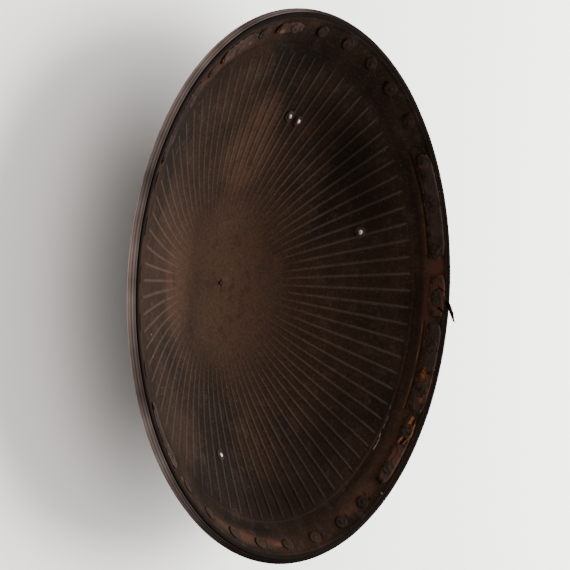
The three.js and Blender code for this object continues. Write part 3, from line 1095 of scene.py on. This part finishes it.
@dataclass
class CentreShank:
    """The end of a shank that is stuck in the hole in the middle. What it held outside is gone."""

    profile: Profile
    shank: float = 5.2
    side: float = 0.3
    end_height: float = 0.6
    clear: float = 0.15
    unevenness: float = 0.09
    unevenness_seed: int = 77
    sides: int = 40

    def build(self, finish: ForgedRivetIron) -> Piece:
        """Builds and dresses the shank.

        Args:
            finish: the iron's finish.

        Returns:
            The finished piece.
        """
        shank, rise = self.shank / 2, self.end_height
        top = self.profile.sheet + self.side
        # Half width, half length, height and how worn each ring is, where worn metal gets a painted glint.
        rings = [
            (POINT_RADIUS, POINT_RADIUS, self.clear + POINT_RADIUS, 0.0),
            (shank * 0.9, shank * 0.9, self.clear, 0.0),
            (shank, shank, self.clear + 0.2, 0.0),
            (shank, shank, top - 0.1, 0.0),
            (shank * 0.93, shank * 0.93, top + 0.15 * rise, 0.2),
            (shank * 0.7, shank * 0.7, top + 0.6 * rise, 0.4),
            (shank * 0.35, shank * 0.35, top + 0.9 * rise, 0.4),
            (POINT_RADIUS, POINT_RADIUS, top + rise, 0.3),
        ]
        piece = turned_mesh("stuck_shank", rings, self.sides)
        spots = np.array([vertex.co[:] for vertex in piece.data.vertices]) / MM
        around = np.arctan2(spots[:, 1], spots[:, 0]) / (2 * math.pi)
        grown = 1 - self.unevenness * np.abs(wave(around * 2, self.unevenness_seed, 3))
        spots[:, :2] *= grown[:, None]
        piece.data.vertices.foreach_set("co", (spots * MM).astype(np.float32).ravel())
        piece.data.update()
        piece.data.materials.append(finish.material())
        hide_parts("centre_shank")
        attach(piece, "root")
        return piece


@dataclass
class RivetSet:
    """Rivets of one form set into the sheet, each a little uneven."""

    name: str
    form: RivetForm
    profile: Profile
    places: tuple[tuple[float, float], ...]
    nodes: tuple[str, ...]
    slot: Slot
    dust: tuple[float, ...]
    twist: float = 7.0
    uneven: float = 1.6
    lump_size: float = 9.0
    size_spread: float = 0.05
    seed: int = 5

    def seats(self) -> Piece:
        """Bare points on the inner face, each with the two directions that a rivet is turned by.

        Returns:
            An object whose mesh has one point for each rivet.
        """
        radius, turn = np.array(self.places, dtype=float).T
        turn = np.radians(turn)
        slope = self.profile.slope(radius)
        points = self.profile.on_face(radius, turn, np.zeros_like(radius))
        axes = [-np.sin(slope) * np.cos(turn), -np.sin(slope) * np.sin(turn), np.cos(slope)]
        sides = [-np.sin(turn), np.cos(turn), np.zeros_like(turn)]
        layers = {"axis": np.stack(axes, axis=-1), "along": np.stack(sides, axis=-1)}
        return mesh_object(self.name, points, [], {**layers, "dust": np.array(self.dust)})

    def setting(self, values: dict[str, object]) -> Tree:
        """The tree that sets a rivet on each seat and makes every one a little different.

        Args:
            values: a value for each named input.

        Returns:
            The geometry tree.
        """
        tree, get = new_geometry_tree("set_rivets", values)
        rivet = add(tree, "GeometryNodeObjectInfo", (get["Rivet"],), "Geometry")
        axis, along = (
            add(tree, "GeometryNodeInputNamedAttribute", (key,), data_type="FLOAT_VECTOR")
            for key in ("axis", "along")
        )
        axes = {"Primary Axis": axis, "Secondary Axis": along}
        upright = add(tree, "FunctionNodeAxesToRotation", axes, primary_axis="Z", secondary_axis="Y")
        less = add(tree, MATH, (get["Twist"], -1.0), operation="MULTIPLY")
        small = add(tree, MATH, (1.0, get["Size spread"]), operation="SUBTRACT")
        large = add(tree, MATH, (1.0, get["Size spread"]), operation="ADD")
        twist, size = (
            add(tree, "FunctionNodeRandomValue", {2: low, 3: high, "Seed": get["Seed"]}, 1, data_type="FLOAT")
            for low, high in ((less, get["Twist"]), (small, large))
        )
        euler = add(tree, "ShaderNodeCombineXYZ", {"Z": twist})
        swing = add(tree, "FunctionNodeEulerToRotation", (euler,))
        turned = add(tree, "FunctionNodeRotateRotation", (upright, swing), rotation_space="LOCAL")
        scaled = add(tree, "ShaderNodeCombineXYZ", (size, size, 1.0))
        seated = {"Points": get["Geometry"], "Instance": rivet, "Rotation": turned, "Scale": scaled}
        placed = add(tree, "GeometryNodeInstanceOnPoints", seated)
        whole = add(tree, "GeometryNodeRealizeInstances", (placed,))
        place = add(tree, "GeometryNodeInputPosition")
        scale = add(tree, MATH, (0.5, get["Lump size"]), operation="DIVIDE")
        lump = {"Vector": place, "W": get["Seed"], "Scale": scale, "Detail": 1.0}
        lumps = add(tree, NOISE, lump, "Color", noise_dimensions="4D")
        centred = add(tree, "ShaderNodeVectorMath", (lumps, (0.5, 0.5, 0.5)), operation="SUBTRACT")
        shift = {0: centred, "Scale": get["Unevenness"]}
        offset = add(tree, "ShaderNodeVectorMath", shift, operation="SCALE")
        moved = add(tree, "GeometryNodeSetPosition", {"Geometry": whole, "Offset": offset})
        end_geometry_tree(tree, moved, get["Material"])
        return tree

    def build(self, finish: ForgedRivetIron) -> Piece:
        """Builds and dresses the rivets as one piece.

        Args:
            finish: the iron's finish.

        Returns:
            The finished piece.
        """
        pattern = self.form.build(f"{self.name}_pattern")
        piece = self.seats()
        values = {
            "Rivet": pattern,
            "Twist": math.radians(self.twist),
            "Size spread": self.size_spread,
            "Unevenness": self.uneven * MM,
            "Lump size": self.lump_size * MM,
            "Seed": self.seed,
            "Material": finish.material(),
        }
        grow(piece, self.setting(values), values)
        bpy.data.objects.remove(pattern)
        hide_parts(*self.nodes)
        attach(piece, "root")
        return piece


@dataclass(frozen=True)
class LeatherStrip:
    """One remnant of the lining band: where it starts and ends, and how its edges are drawn in and lifted."""

    name: str
    start: float
    end: float
    inner: float = 0.0
    outer: float = 0.0
    curl: float = 1.0
    seed: int = 1


@dataclass
class LeatherRemains:
    """What is left of the leather lining band, and the torn sliver that stands up over the rim."""

    profile: Profile
    thickness: float = 2.0
    width: float = 15.5
    from_roll: float = 4.6
    seat_gap: float = 0.2
    cell: float = 1.3
    least_cells: int = 16
    across_cells: int = 14
    ragged: float = 0.7
    outer_ragged: float = 0.28
    wave_length: float = 40.0
    drawn_in: float = 3.1
    tear: float = 2.0
    tear_reach: float = 9.0
    edge_share: float = 0.35
    edge_reach: float = 1.8
    end_lift: float = 0.8
    end_lift_reach: float = 14.0
    wave_lift: float = 0.25
    lumps: float = 0.1
    fray: float = 0.8
    fray_reach: float = 1.4
    strips: tuple[LeatherStrip, ...] = (
        LeatherStrip("leather_strip_upper", 7.8, 32, 0, 0, 0.4, 11),
        LeatherStrip("leather_flap", -5.4, 4.2, 0, 0, 0.8, 12),
        LeatherStrip("leather_strip_middle", -28, -6.6, 0, 0, 0.5, 13),
        LeatherStrip("leather_strip_lower", -48, -28.8, 1, 2, 0.6, 14),
        LeatherStrip("leather_scrap_top", 90, 100, 1.5, 3, 0.8, 15),
        LeatherStrip("leather_scrap_crown", 107.8, 122.5, 2, 1, 1.0, 16),
        LeatherStrip("leather_strip_near_top", 131, 154, 3, 0, 0.4, 17),
        LeatherStrip("leather_strip_near_foot", -152, -135, 2, 0, 0.6, 18),
    )
    patches: tuple[Patch, ...] = patches_of(
        grey=(
            (264, 26, 9, 6, 0.9), (264, 16, 9, 7, 0.7), (262, -10, 10, 4.5, 1.0), (264, -15.5, 8, 3, 0.8),
        ),
        tan=(
            (263, -1, 22, 8, 1.0), (262, -21, 12, 6, 0.9), (261, -41, 14, 9, 0.9), (260, 98, 14, 6, 0.4),
            (260, 113, 14, 9, 0.3), (260, -143, 14, 10, 0.4),
        ),
        # Darker leather, with painted shade under the sliver at -1.6 degrees and along every strip's outer
        # edge at 270.8.
        dark=(
            (264, 104, 14, 22, 0.55), (269.5, -1.6, 3.5, 3, 0.8), (270.8, 0, 4.4, 360, 1.0),
            (265, 30.5, 7, 2.0, 0.6), (262, 8.6, 9, 1.0, 0.7), (262, -18, 9, 0.9, 0.6),
            (262, 142, 22, 20, 0.6), (266, -146, 14, 14, 0.5),
        ),
        torn=(
            (258, -18.5, 7, 3.6, 0.7), (262, -24.5, 8, 2.6, 0.6), (261, -31.5, 7, 4.6, 0.75),
            (262, -0.6, 6, 1.7, 0.75), (258, 98, 5, 3, 0.6), (258, 111, 5, 4, 0.5),
            (257, -139, 5, 5, 0.7),
        ),
    )
    lines: tuple[Line, ...] = (
        Line("torn", ((254.6, 34), (255.2, 20), (254.8, 7)), 1.3, 0.3),
        Line("torn", ((254.4, -6), (254.4, -29)), 1.2, 0.35),
        Line("dark", ((257, 0.6), (262, 1.3), (267, 0.4)), 1.2, 0.8),
        # Painted shadow under the torn sliver.
        Line("dark", ((257.5, -1.4), (262, -3.2), (268, -4.2)), 2.2, 1.0),
        Line("dark", ((264, -28), (262, -31), (263, -33), (259, -36.5)), 1.8, 1.0),
        Line("torn", ((261, -28), (259, -31), (260, -33), (256.5, -36.5)), 1.8, 1.0),
        Line("torn", ((266.5, -28), (264.5, -31), (265.5, -33), (261.5, -36)), 1.2, 0.9),
        Line("dark", ((256, -37), (260, -39), (258, -42)), 1.0, 0.6),
        Line("dark", ((255, -13), (262, -12.2), (269, -13)), 0.9, 0.6),
        Line("dark", ((256, 22), (262, 21), (269, 22.5)), 0.8, 0.5),
    )
    tongue_rise: float = 14.0
    tongue_length: float = 25.8
    tongue_width: float = 6.0
    tongue_tip: float = 1.4
    tongue_tip_thickness: float = 1.0
    tongue_taper: float = 2.2
    tongue_overhang: float = 2.0
    tongue_clears: tuple[float, float] = (1.4, 3.2)
    tongue_sink: float = 0.6
    tongue_at_crest: float = 0.28
    tongue_at_roll: float = 0.5
    tongue_lean: float = 20.0
    tongue_ragged: float = 0.16
    tongue_seed: int = 31
    tongue_fray: float = 0.12
    tongue_cells: int = 30
    tongue_sides: int = 10
    tongue_easing: int = 6

    def strip(self, form: LeatherStrip) -> tuple[np.ndarray, list[list[int]], np.ndarray]:
        """Builds one strip as a closed skin.

        Args:
            form: the strip's place and shape.

        Returns:
            Points in millimetres, faces, and how close each point is to a torn edge.
        """
        p, seed = self.profile, form.seed
        outer_edge = p.roll_middle - self.from_roll
        span = math.radians(form.end - form.start)
        length = span * outer_edge
        cells = max(self.least_cells, round(length / self.cell))
        u = np.linspace(0, 1, cells + 1)[:, None]
        v = np.linspace(0, 1, self.across_cells + 1)[None, :]
        run = u * length / self.wave_length
        from_end = np.minimum(u, 1 - u) * length
        drawn = np.clip(1 - from_end / self.width, 0, 1) ** 2 * self.drawn_in
        inner = outer_edge - self.width + form.inner + drawn + self.ragged * wave(run, seed)
        outer = outer_edge - form.outer - drawn - self.outer_ragged * np.abs(wave(run * 1.7, seed + 50))
        radius = inner + (outer - inner) * v
        tear = np.abs(self.tear * wave(v * 0.9, seed + 100, 6))
        near_start = smooth(u * length, self.tear_reach, 0.0)
        near_end = smooth((1 - u) * length, self.tear_reach, 0.0)
        shift = (near_start * tear - near_end * tear[:, ::-1]) / outer_edge
        turn = math.radians(form.start) + u * span + shift
        edge = np.minimum(np.minimum(v, 1 - v) * self.width, from_end)
        thin = self.edge_share
        thick = self.thickness * (thin + (1 - thin) * smooth(edge, 0.0, self.edge_reach))
        end_lift = smooth(from_end, self.end_lift_reach, 0.0) * self.end_lift
        lift = form.curl * (end_lift + self.wave_lift * np.abs(wave(run * 2.3 + v, seed + 7)))
        bottom = np.full_like(radius, self.seat_gap) + lift * np.ones_like(v)
        top = bottom + thick + self.lumps * wave(run * 9 + 3 * v, seed + 9)
        torn = self.fray * smooth(edge, self.fray_reach, 0.0) * (0.6 + 0.4 * wave(run * 3, seed + 3))
        skins = [p.on_face(radius, turn, lift).reshape(-1, 3) for lift in (top, bottom)]
        count = self.across_cells + 1
        skin = band_faces(cells + 1, count, round_loop=False)
        layer = (cells + 1) * count
        # The skins are joined by a wall along the strip's edge.
        loop = [*range(count), *(i * count + count - 1 for i in range(1, cells + 1))]
        loop += [cells * count + i for i in range(count - 2, -1, -1)]
        loop += [i * count for i in range(cells - 1, 0, -1)]
        wall = [(a + layer, b + layer, b, a) for a, b in zip(loop, loop[1:] + loop[:1])]
        faces = np.concatenate([skin[:, ::-1], skin + layer, np.array(wall)]).tolist()
        return np.concatenate(skins), faces, np.tile(torn.ravel(), 2)

    def sliver(self, flap: LeatherStrip) -> tuple[np.ndarray, list[list[int]]]:
        """Builds the torn sliver, which leaves the flap, crosses the rim and rises to a tip.

        Args:
            flap: the strip that it hangs on.

        Returns:
            Points in millimetres, and faces.
        """
        p = self.profile
        share = np.linspace(0, 1, self.tongue_cells)
        root = p.roll_middle - self.from_roll - self.tongue_width / 2
        low = float(p.level(root)) + self.thickness - self.tongue_sink
        over = p.roll_level + p.roll_radius
        near, far = (over + clear for clear in self.tongue_clears)
        path = (
            (root, p.crest, p.roll_middle, p.roll_middle + self.tongue_overhang),
            (low, near, far, p.roll_level + self.tongue_rise),
            (0.0, self.tongue_at_crest, self.tongue_at_roll, 1.0),
        )
        radius, level, swing = (np.interp(share, (0.0, 0.33, 0.62, 1.0), knots) for knots in path)
        for values in (radius, level, swing):
            for _ in range(self.tongue_easing):
                values[1:-1] = np.convolve(values, (0.25, 0.5, 0.25), "valid")
        turn = math.radians((flap.start + flap.end) / 2) - swing * self.tongue_length / p.roll_middle
        half = (self.tongue_width + (self.tongue_tip - self.tongue_width) * share**self.tongue_taper) / 2
        half = half * (1 + self.tongue_ragged * wave(share * 2, self.tongue_seed))
        thick = (self.thickness + (self.tongue_tip_thickness - self.thickness) * share) / 2
        lean = p.tilt + math.radians(self.tongue_lean) * share
        around = np.arange(self.tongue_sides) * 2 * math.pi / self.tongue_sides
        out = half[:, None] * np.cos(around)
        up = thick[:, None] * np.sin(around)
        cosine, sine = np.cos(lean)[:, None], np.sin(lean)[:, None]
        away = radius[:, None] + out * cosine - up * sine
        height = level[:, None] + out * sine + up * cosine
        along = turn[:, None] * np.ones(self.tongue_sides)
        points = np.stack([away * np.cos(along), away * np.sin(along), height], axis=-1)
        return points.reshape(-1, 3), tube_faces(self.tongue_cells, self.tongue_sides)

    def build(self, finish: OldLeather) -> list[Piece]:
        """Builds and dresses every strip.

        Args:
            finish: the leather's finish.

        Returns:
            The finished pieces.
        """
        material = finish.material()
        pieces = []
        for form in self.strips:
            points, faces, torn = self.strip(form)
            if form.name == "leather_flap":
                more, skin = self.sliver(form)
                faces += [[corner + len(points) for corner in face] for face in skin]
                points = np.concatenate([points, more])
                torn = np.concatenate([torn, np.full(len(more), self.tongue_fray)])
            layers = painted(points, LEATHER_LAYERS, self.patches, self.lines)
            layers["torn"] = np.maximum(layers["torn"], torn)
            piece = mesh_object(f"old_{form.name}", points, faces, layers)
            piece.data.materials.append(material)
            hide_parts(form.name)
            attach(piece, "root")
            pieces.append(piece)
        return pieces


@dataclass(frozen=True)
class Lamp:
    """One soft square light: where it hangs, its side in metres and its strength in watts."""

    name: str = "key"
    turn: float = 3.0
    rise: float = 24.0
    distance: float = 3.2
    size: float = 1.8
    power: float = 620.0

    def build(self) -> Piece:
        """Hangs the light so that it faces the shield.

        Returns:
            The light.
        """
        turn, rise = math.radians(self.turn), math.radians(self.rise)
        flat = math.cos(rise)
        place = Vector((flat * math.cos(turn), flat * math.sin(turn), math.sin(rise))) * self.distance
        data = bpy.data.lights.new(self.name, "AREA")
        data.size = self.size
        data.energy = self.power
        light = bpy.data.objects.new(self.name, data)
        turned = place.to_track_quat("Z", "Y").to_matrix().to_4x4()
        light.matrix_world = Matrix.Translation(place) @ turned
        bpy.context.scene.collection.objects.link(light)
        return light


@dataclass
class Studio:
    """A pale floor, a soft light, and the camera at the photographed angle."""

    profile: Profile
    lamp: Lamp = Lamp()
    view_cosine: float = 0.5713
    roll: float = 2.843
    scale: float = 0.994
    frame_pixels: int = 570
    distance: float = 20.0
    shift_right: float = -5.4
    shift_up: float = 1.2
    sky_colour: str = "#fbf6f2"
    sky_strength: float = 1.15
    floor_colour: str = "#f4f3f1"
    floor_reach: float = 6000.0
    floor_roughness: float = 0.9
    grain_size: float = 4.0
    grain_bump: float = 0.05
    grain_depth: float = 0.2

    def camera(self) -> Piece:
        """Sets up a long lens that looks down at the hollow from the side of -X.

        Returns:
            The camera.
        """
        cosine = self.view_cosine
        sine = math.sqrt(1 - cosine**2)
        roll = math.radians(self.roll)
        flat, side = Vector((cosine, 0, sine)), Vector((0, 1, 0))
        right = flat * math.cos(roll) + side * math.sin(roll)
        up = side * math.cos(roll) - flat * math.sin(roll)
        back = Vector((-sine, 0, cosine))
        middle = Vector((0, 0, self.profile.roll_level)) + right * self.shift_right + up * self.shift_up
        data = bpy.data.cameras.new("camera")
        width = self.frame_pixels / self.scale * MM
        data.lens = data.sensor_width * self.distance / width
        data.clip_end = 2 * self.distance
        camera = bpy.data.objects.new("camera", data)
        turned = Matrix((right, up, back)).transposed().to_4x4()
        camera.matrix_world = Matrix.Translation(middle * MM + back * self.distance) @ turned
        bpy.context.scene.collection.objects.link(camera)
        bpy.context.scene.camera = camera
        return camera

    def floor(self) -> Piece:
        """Lays a plain pale floor under the shield.

        Returns:
            The floor.
        """
        corners = [(-1, -1, 0), (1, -1, 0), (1, 1, 0), (-1, 1, 0)]
        floor = mesh_object("floor", self.floor_reach * np.array(corners), [[0, 1, 2, 3]])
        material, _, (grain,) = new_surface("painted_floor", (), (self.grain_size,))
        finish = {"Base Color": linear(self.floor_colour), "Roughness": self.floor_roughness}
        end_surface(material.node_tree, finish, grain, self.grain_bump, self.grain_depth)
        floor.data.materials.append(material)
        return floor

    def build(self) -> None:
        """Sets up the floor, the light, the surroundings and the camera.

        Returns:
            Nothing. All of them are in the scene afterwards.
        """
        self.floor()
        self.lamp.build()
        world = bpy.data.worlds.new("surroundings")
        world.use_nodes = True
        world.node_tree.nodes.clear()
        colour = {"Color": linear(self.sky_colour), "Strength": self.sky_strength}
        glow = add(world.node_tree, "ShaderNodeBackground", colour)
        add(world.node_tree, "ShaderNodeOutputWorld", {"Surface": glow})
        bpy.context.scene.world = world
        self.camera()


@dataclass
class Shield:
    """The whole shield, put together from its sub-assemblies."""

    profile: Profile = field(default_factory=Profile)
    rivet_count: int = 34
    rivet_turn: float = -1.1
    rivet_shifts: tuple[tuple[int, float], ...] = ((6, -1.0), (7, -1.5), (8, -1.6), (9, -1.2), (29, -1.4))
    rivet_from_roll: float = 13.5
    rivet_seed: int = 5
    iron_under: float = 0.12
    leather_under: float = 1.75
    leather_dust: float = 0.4
    dusty_turn: float = -105.0
    dusty_reach: float = 75.0
    dusty_core: float = 10.0
    strap_places: tuple[tuple[str, float, float], ...] = (
        ("strap_rivet_upper_a", 177, 75.5),
        ("strap_rivet_upper_b", 177, 70.4),
        ("strap_rivet_right", 184, 18.5),
        ("strap_rivet_lower", 180, -106),
    )
    strap_dust: float = 0.6
    strap_uneven: float = 0.6
    strap_seed: int = 9

    def lining_places(self, leather: LeatherRemains) -> dict[bool, list[tuple[float, float, str]]]:
        """Sorts the lining rivets by whether they hold leather: radius, turn and node of each.

        Args:
            leather: the remains of the lining.

        Returns:
            The rivets on bare iron under False, and those on leather under True.
        """
        radius = self.profile.roll_middle - self.rivet_from_roll
        shifts = dict(self.rivet_shifts)
        found: dict[bool, list[tuple[float, float, str]]] = {False: [], True: []}
        for i in range(self.rivet_count):
            turn = self.rivet_turn + 360 * i / self.rivet_count + shifts.get(i, 0.0)
            turn = turn - 360 if turn > 180 else turn
            held = any(strip.start < turn < strip.end for strip in leather.strips)
            found[held].append((radius, turn, f"lining_rivet_{i + 1:02d}"))
        return found

    def lining_rivets(self, held: bool, found: list[tuple[float, float, str]]) -> RivetSet:
        """Makes a set of lining rivets, lighter towards the foot.

        Args:
            held: whether they hold leather or sit on bare iron.
            found: radius, turn and node of each.

        Returns:
            The set of rivets.
        """
        under = self.leather_under if held else self.iron_under
        form = RivetForm(self.profile.sheet, under=under)
        places = tuple((radius, turn) for radius, turn, _ in found)
        away = np.array([abs(apart(turn, self.dusty_turn)) for _, turn in places])
        dust = smooth(away, self.dusty_reach, self.dusty_core) * (self.leather_dust if held else 1.0)
        nodes = tuple(node for *_, node in found)
        name = "lining_rivets_on_leather" if held else "lining_rivets_on_iron"
        seed = self.rivet_seed + held
        return RivetSet(name, form, self.profile, places, nodes, Slot.RIVET, tuple(dust), seed=seed)

    def strap_rivets(self) -> RivetSet:
        """Makes the four rivets that held the arm straps.

        Returns:
            The set of rivets.
        """
        form = RivetForm(
            sheet=self.profile.sheet,
            under=0.15,
            shank=4.5,
            head=12.0,
            head_height=2.2,
            washer_length=12.0,
            washer_width=12.0,
            washer_thickness=0.5,
            end_height=1.2,
            # The whole end worn bare and painted bright as a glint.
            wear=1.0,
            washer_wear_and_glint=0.35,
        )
        return RivetSet(
            name="strap_rivets",
            form=form,
            profile=self.profile,
            places=tuple((radius, turn) for _, radius, turn in self.strap_places),
            nodes=tuple(node for node, _, _ in self.strap_places),
            slot=Slot.STRAP,
            dust=(self.strap_dust,) * len(self.strap_places),
            uneven=self.strap_uneven,
            seed=self.strap_seed,
        )

    def build(self) -> None:
        """Builds every piece in order and reports each one.

        Returns:
            Nothing. The pieces are in the scene afterwards.
        """
        leather = LeatherRemains(self.profile)
        found = self.lining_places(leather)
        stuck_iron = ForgedRivetIron("stuck_shank_iron", light="#33201a")
        grimed_iron = ForgedRivetIron("grimed_rivet_iron", "#191310", "#2b211c", "#30241c")
        # The strap rivets' ends are bare metal with a painted glint.
        strap_iron = ForgedRivetIron("rubbed_rivet_iron", light="#2f2621", bright="#7f746e", roughness=0.5)
        bare = tuple((radius, turn) for radius, turn, _ in found[False])
        pieces = [
            IronPlate(self.profile, bare).build(PatinatedIron()),
            CentreShank(self.profile).build(stuck_iron),
            self.lining_rivets(False, found[False]).build(ForgedRivetIron()),
            self.lining_rivets(True, found[True]).build(grimed_iron),
            self.strap_rivets().build(strap_iron),
            *leather.build(OldLeather()),
        ]
        for piece in pieces:
            LOG.info("%s: %d faces", piece.name, len(piece.data.polygons))


def main() -> None:
    """Loads the frame, and builds the shield and its studio.

    Returns: Nothing.
    """
    logging.basicConfig(level=logging.INFO, format="%(name)s %(message)s")
    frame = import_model()
    LOG.info("the frame has %d solids", len(frame["nodes"]))
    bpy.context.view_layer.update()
    shield = Shield()
    shield.build()
    Studio(shield.profile).build()
    LOG.info("boxes written")


if __name__ == "__main__":
    main()
